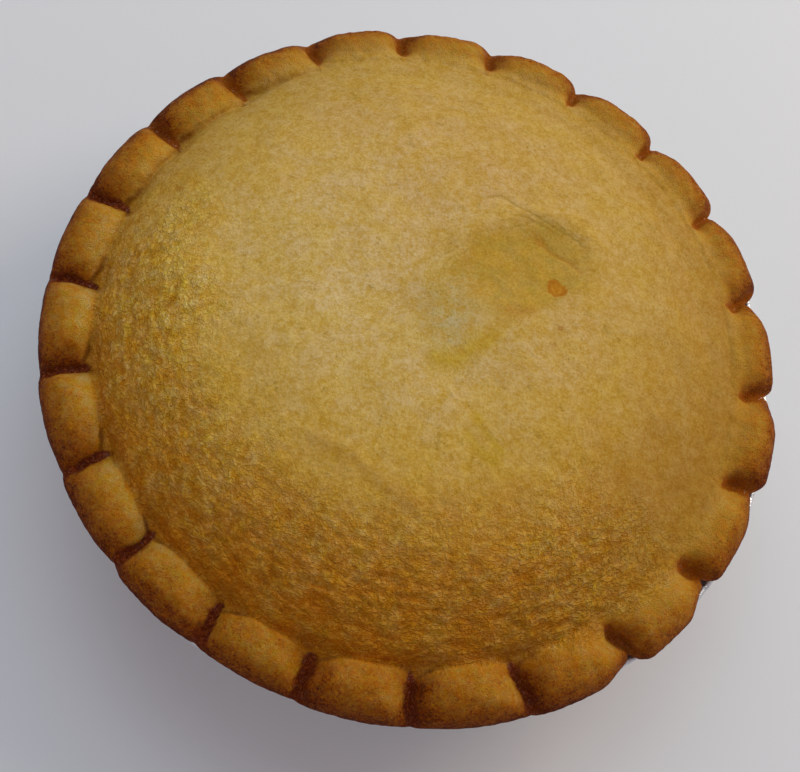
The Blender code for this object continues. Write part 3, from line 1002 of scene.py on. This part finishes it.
class CrustBench(Bench):
    # the bench with the grains and masks that several layers of the crust share
    def __init__(self):
        super().__init__("bakedCrust", {"IOR": 1.45, "Specular IOR Level": 0.06, "Coat Roughness": 0.25})
        self.ring = self.mask("ringPlace", "Vector")
        self.cloud = self.noise(110, 4.0, 0.6)
        self.fleck = self.noise(420, 4.0, 0.75)
        self.fine = self.noise(1500, 3.0, 0.7)
        self.grit = self.noise(3000, 2.0, 0.6)
        self.crescent = self.mask("crescent")
        self.onRim = self.mask("rim")
        self.rise = self.noise(420, 4.0, 0.75, self.ring)
        broad = self.fit(self.foldedNoise(640, 3.0, 0.65), 0.0, 0.12) * 0.7
        self.peel = broad + self.fit(self.foldedNoise(1250, 2.0, 0.5), 0.0, 0.15) * 0.3
        self.crimp = self.fit(self.mask("crimp") + (self.fleck - 0.5) * 1.1, 0.20, 0.74)

    def foldedNoise(self, scale, detail, roughness):
        # 0 in thin valleys, more on the bumps between them
        return self.math("ABSOLUTE", self.noise(scale, detail, roughness, self.ring) - 0.5)

    def layer(self, share, whole, name):
        return self.mixColour(share, whole, crustColours[name])

    def flecked(self, low, high, least=0.0, most=1.0):
        return self.fit(self.fleck, low, high, least, most)

    def patches(self, name, place=None):
        *grain, start, full = crustPatches[name]
        return self.fit(self.noise(*grain, place), start, full)

    def tinted(self, whole, lightness, name, share=None):
        # a colour multiplied by its dark tint where lightness is 0, by its light one where it is 1
        tint = self.mixColour(lightness, *crustTints[name])
        tinted = self.mixColour(1.0, whole, tint, "MULTIPLY")
        return self.mixColour(share, whole, tinted) if share else tinted

    def lidColour(self):
        # pale in the middle, tan towards the rim, browner on its toasted side
        bake = self.mask("bake") + (self.cloud - 0.5) * 0.35
        toasty = self.mask("toasty") + (self.noise(70, 3.0) - 0.5) * 0.4
        plain = self.ramp(bake, crustColours["plainStops"])
        return self.mixColour(toasty, plain, self.ramp(bake, crustColours["toastyStops"]))

    def wrinkles(self, lid):
        smudge = self.patches("smudge", self.ring) * self.fit(self.crescent, 0.2, 0.9)
        lid = self.layer(smudge * 0.32, lid, "smudge")
        # the valleys browner and with painted shade, the bumps lightened as a painted highlight
        valley = (1.0 - self.peel) * 0.45 + self.fit(self.rise, 0.62, 0.38) * 0.35
        valley = valley + self.fit(self.mask("crest"), 0.7, 0.25) * 0.20
        share = self.fit(self.crescent, 0.0, 1.0, 0.10, 0.95)
        lid = self.tinted(lid, self.fit(valley, -0.10, 0.95), "wrinkles", share)
        return self.layer(self.patches("speck", self.ring) * (0.40 - self.crescent * 0.2), lid, "speck")

    def dent(self, lid):
        # a yellowish halo, the ochre patch darkened to olive as painted shade in its hollow, and its broken
        # edge
        reach = self.mask("dentReach") + (self.cloud - 0.5) * 0.5
        halo = (1.0 - self.fit(reach, 0.9, 2.1)) * self.fit(self.cloud, 0.35, 0.6, 0.18, 0.55)
        lid = self.layer(halo, lid, "halo")
        ground = self.layer(self.patches("ochre"), crustColours["olive"], "ochre")
        patch = 1.0 - self.fit(reach, 0.78, 1.12)
        lid = self.mixColour(patch * self.flecked(0.3, 0.7, 0.50, 0.85), lid, ground)
        edgeLine = 1.0 - self.fit(self.math("ABSOLUTE", reach - 0.98), 0.0, 0.045)
        broken = self.fit(self.cloud, 0.42, 0.60) * self.flecked(0.35, 0.6)
        self.dentReach = reach
        return self.layer(edgeLine * broken * 0.4, lid, "speck")

    def marks(self, lid):
        lid = self.layer(self.mask("pale") * self.flecked(0.35, 0.6), lid, "ash")
        lid = self.layer(self.mask("yellow") * self.flecked(0.3, 0.6, 0.5, 0.9), lid, "yolk")
        lid = self.layer(self.mask("rust") * self.flecked(0.25, 0.6, 0.5, 1.0), lid, "rust")
        # the dent's fold lines are darkened as painted shade along the folds; the split is its own
        # orange-brown
        for name, wide, tone in (("outer", 0.50, "speck"), ("inner", 0.50, "speck"), ("split", 0.95, "rust")):
            way = self.math("ABSOLUTE", self.mask(name + "Way") + (self.cloud - 0.5) * 1.2)
            line = (1.0 - self.fit(way, 0.06, wide)) * self.mask(name + "Line")
            lid = self.layer(line * self.flecked(0.3, 0.6, 0.4, 1.0) * 0.55, lid, tone)
        # crinkles along the folds, darkened as painted shade
        crinkle = self.math("SINE", self.dentReach * 46.0 + (self.noise(90, 3.0) - 0.5) * 9.0)
        crinkle = self.fit(crinkle, 0.20, 0.98) * self.mask("folds")
        lid = self.layer(crinkle * self.patches("crinkled") * 0.28, lid, "speck")
        spotWay = self.mask("spotWay") + (self.fleck - 0.5) * 2.5
        spot = self.layer(self.fit(spotWay, 0.9, 1.7), crustColours["spotCore"], "spotEdge")
        return self.mixColour((1.0 - self.fit(spotWay, 1.9, 2.6)) * 0.85, lid, spot)

    def pores(self, lid):
        pit = 1.0 - self.fit(self.cells(900), 0.08, 0.30)
        patchy = self.noise(160, 3.0, 0.7) + self.mask("pale") * 0.12
        return self.layer(pit * self.fit(patchy, 0.52, 0.64) * 0.40, lid, "pore")

    def rim(self, lid):
        # golden inside, brown towards its edge and beside the crimps, with painted shade in the crease and on
        # the crimps' shaded side
        brown = self.mask("browningAndShading") + (self.fleck - 0.5) * 0.65 + (self.cloud - 0.5) * 0.25
        brown = brown + (self.fine - 0.5) * 1.1 + (self.grit - 0.5) * 0.7
        whole = self.mixColour(self.onRim, lid, self.ramp(brown, crustColours["rimStops"]))
        # painted shade in the crease, darkest at the lobes' cut corners
        creaseShade = self.mask("creaseShade")
        creaseShade = creaseShade + (self.fleck - 0.5) * 0.6 * self.fit(creaseShade, 0.0, 0.3)
        whole = self.layer(self.fit(creaseShade, 0.10, 0.70) * 0.80, whole, "crease")
        whole = self.layer(self.fit(creaseShade, 0.62, 0.95) * 0.45, whole, "corner")
        # the crimps' floors darker on the shaded side: painted shade
        shaded = self.mask("shaded")
        glaze = self.layer(self.fit(self.fine, 0.45, 0.7), crustColours["glaze"], "bubble")
        glaze = self.mixColour(shaded, crustColours["pocket"], glaze)
        return self.mixColour(self.crimp * self.fit(shaded, 0.0, 1.0, 0.92, 1.0), whole, glaze)

    def mottling(self, whole):
        # the darker, the more saturated
        mottle = (self.fleck * 0.5 + self.fine * 0.5 - 0.5) * (1.0 + self.onRim * 0.6)
        mottle = mottle + ((self.grit - 0.5) * 2.4 + (self.fine - 0.5) * 0.7) * self.onRim
        whole = self.tinted(whole, self.fit(mottle, -0.15, 0.15), "fine")
        whole = self.tinted(whole, self.patches("glow"), "glow", self.fit(self.crescent, 0.0, 1.0))
        whole = self.tinted(whole, self.patches("honey"), "honey")
        wrinkled = self.crescent * (1.0 - self.onRim)
        whole = self.tinted(whole, self.patches("amber", self.ring), "amber", wrinkled)
        return self.tinted(whole, self.patches("gold"), "gold", self.onRim)

    def height(self):
        # fine grain, with wrinkles in the crescent and crumbs on the rim
        wrinkled = self.fit(self.crescent, 0.0, 1.0, 0.06, 1.0) * (1.0 - self.onRim)
        height = (self.fine * 0.35 + self.fleck * 0.55) * (1.0 + self.onRim * 0.8)
        height = height + (self.peel + self.rise) * 1.5 * wrinkled
        return height + (self.grit * 1.4 + self.fine + self.fleck * 0.8) * self.onRim


def makeCrust():
    bench = CrustBench()
    lid = bench.wrinkles(bench.lidColour())
    lid = bench.pores(bench.marks(bench.dent(lid)))
    whole = bench.mottling(bench.rim(lid))
    bench.feed(bench.shader.inputs["Coat Weight"], bench.crimp * bench.patches("glint"))
    bench.finish(whole, bench.flecked(0.3, 0.7, 0.56, 0.72), bench.height(), 0.00036, 0.8)
    return bench.material


finishPiece(bakedPie, "pie", makeCrust())


# The foil tin

def tinWall(height):
    return between(tin["baseRadius"], tin["mouthRadius"], height / tin["flangeHeight"])


def tinSection():
    # outside of the foil: flat base, round corner, wall, flange and rolled edge
    half = tin["foil"]
    section = [(0.0, half), (0.022, half), (0.044, half), (0.060, half)]
    section += [(tin["baseRadius"] - 0.0022, half)]
    section += [(tinWall(0.0014) - 0.0008, 0.0005), (tinWall(0.0014), 0.0014)]
    for height in np.linspace(0.0030, 0.0288, 12):
        section.append((tinWall(height), height))
    flange = tin["flangeHeight"]
    section += [(tin["mouthRadius"] - 0.0002, 0.0301), (tin["mouthRadius"] + 0.0006, flange)]
    section += [(0.0852, flange), (0.0859, flange + 0.0001)]
    roll = tin["rollRadius"] - 0.0001
    centre = tin["edgeRadius"] - tin["rollRadius"]
    for turn in np.radians(np.arange(150, -151, -20)):
        section.append((centre + roll * np.cos(turn), flange + roll * np.sin(turn)))
    return [(float(r), float(h)) for r, h in section]


def shapeTin():
    # pleats in the wall, and a rolled edge that is a little crumpled
    piece = spinProfile("foilTin", tinSection(), tin["steps"])
    mesh = piece.data
    spots = readSpots(mesh)
    radius, angle, height = polar(spots)
    sweep = tin["flutes"] * angle
    pleat = 0.5 * tin["fluteDepth"] * (np.cos(sweep) + 0.18 * np.cos(3 * sweep)) / 1.1
    wall = plateau(0.0008, 0.0045, 0.0285, 0.0302, height)
    corner = hump(height - 0.0010, 0.0009) * 0.25
    uneven = stackedGrain(spots, tin["dents"])
    radius = radius + pleat * (wall + corner) + uneven * np.where(radius > 0.066, 1.0, 0.0)
    rolled = smoothStep(0.0856, 0.0866, radius)
    ring = onRing(angle, tin["crinkles"])
    crinkle = Grain(63).at(ring) + 0.6 * Grain(64).at(2.1 * ring)
    radius = radius + tin["rollCrinkle"] * crinkle * rolled
    height = height + tin["rollWave"] * Grain(65).at(1.3 * ring) * rolled
    onFlange = smoothStep(0.0840, 0.0850, radius)
    height = height + tin["flangeWave"] * Grain(66).at(spots / 0.006) * onFlange
    writeSpots(mesh, onRing(angle, radius, np.maximum(height, 0.00007)) + (*tin["middle"], 0.0))
    editAll()
    bpy.ops.mesh.normals_make_consistent(inside=False)
    leaveEdit()
    wallMaker = piece.modifiers.new("foilWall", "SOLIDIFY")
    wallMaker.thickness = tin["foil"]
    wallMaker.offset = 0.0
    bpy.ops.object.modifier_apply(modifier=wallMaker.name)
    writeSpots(mesh, np.clip(readSpots(mesh), *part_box("foil_tin")))
    return piece


foilLook = {
    "bright": (0.84, 0.85, 0.86),
    "dull": (0.66, 0.67, 0.69),
    "streaks": (1.0, 1.0, 0.25),    # drawn out up the wall
}


def makeFoil():
    bench = Bench("foil", {"Metallic": 0.8})
    dull = bench.fit(bench.noise(70, 2.0), 0.35, 0.7)
    shade = bench.mixColour(dull, foilLook["bright"], foilLook["dull"])
    streak = bench.noise(260, 3.0, 0.6, bench.stretch(foilLook["streaks"]))
    height = streak + bench.noise(900, 2.0) * 0.9 + bench.noise(2400, 2.0) * 0.4
    bench.finish(shade, bench.fit(streak, 0.3, 0.7, 0.26, 0.46), height, 0.00040, 0.9)
    return bench.material


foilTin = shapeTin()
finishPiece(foilTin, "foil_tin", makeFoil())
print("foil tin:", len(foilTin.data.polygons), "faces")


# Smooth shading, floor, light and camera

for piece in (bakedPie, foilTin):
    deselectAll()
    piece.select_set(True)
    bpy.context.view_layer.objects.active = piece
    bpy.ops.object.shade_smooth()

studio = {
    "floorSize": 6.0,
    "floorColour": (0.80, 0.80, 0.80, 1.0),
    "warmLamp": {"place": (0.90, 0.52, 0.60), "size": 0.6, "power": 6.45, "colour": (1.0, 0.90, 0.755)},
    "coolLamp": {"place": (0.00, 1.03, 1.23), "size": 1.6, "power": 10.1, "colour": (0.68, 0.88, 1.0)},
    "fillColour": (0.351, 0.318, 0.340, 1.0),
    "cameraPlace": (-0.04675, -0.12197, 0.31916),
    "cameraTurnDeg": (21.1611, -8.4831, 0.2615),
    "lens": 58.529,
}


def addLamp(place, size, power, colour):
    bpy.ops.object.light_add(type="AREA", location=place)
    lamp = bpy.context.object
    lamp.data.size = size
    lamp.data.energy = power
    lamp.data.color = colour
    lamp.rotation_euler = (-lamp.location).to_track_quat("-Z", "Y").to_euler()


def makeStudio():
    deselectAll()
    bpy.ops.mesh.primitive_plane_add(size=studio["floorSize"])
    floor = bpy.context.object
    floor.name = "studioFloor"
    bench = Bench("studioFloor", {"Base Color": studio["floorColour"], "Roughness": 0.75})
    floor.data.materials.append(bench.material)
    addLamp(**studio["warmLamp"])
    addLamp(**studio["coolLamp"])
    world = bpy.data.worlds.new("studioWorld")
    world.use_nodes = True
    sky = world.node_tree.nodes["Background"]
    sky.inputs["Color"].default_value = studio["fillColour"]
    sky.inputs["Strength"].default_value = 1.0
    bpy.context.scene.world = world
    turn = [math.radians(part) for part in studio["cameraTurnDeg"]]
    bpy.ops.object.camera_add(location=studio["cameraPlace"], rotation=turn)
    camera = bpy.context.object
    camera.data.sensor_width = 36.0
    camera.data.lens = studio["lens"]
    bpy.context.scene.camera = camera
    bpy.context.scene.view_settings.view_transform = "Standard"


makeStudio()
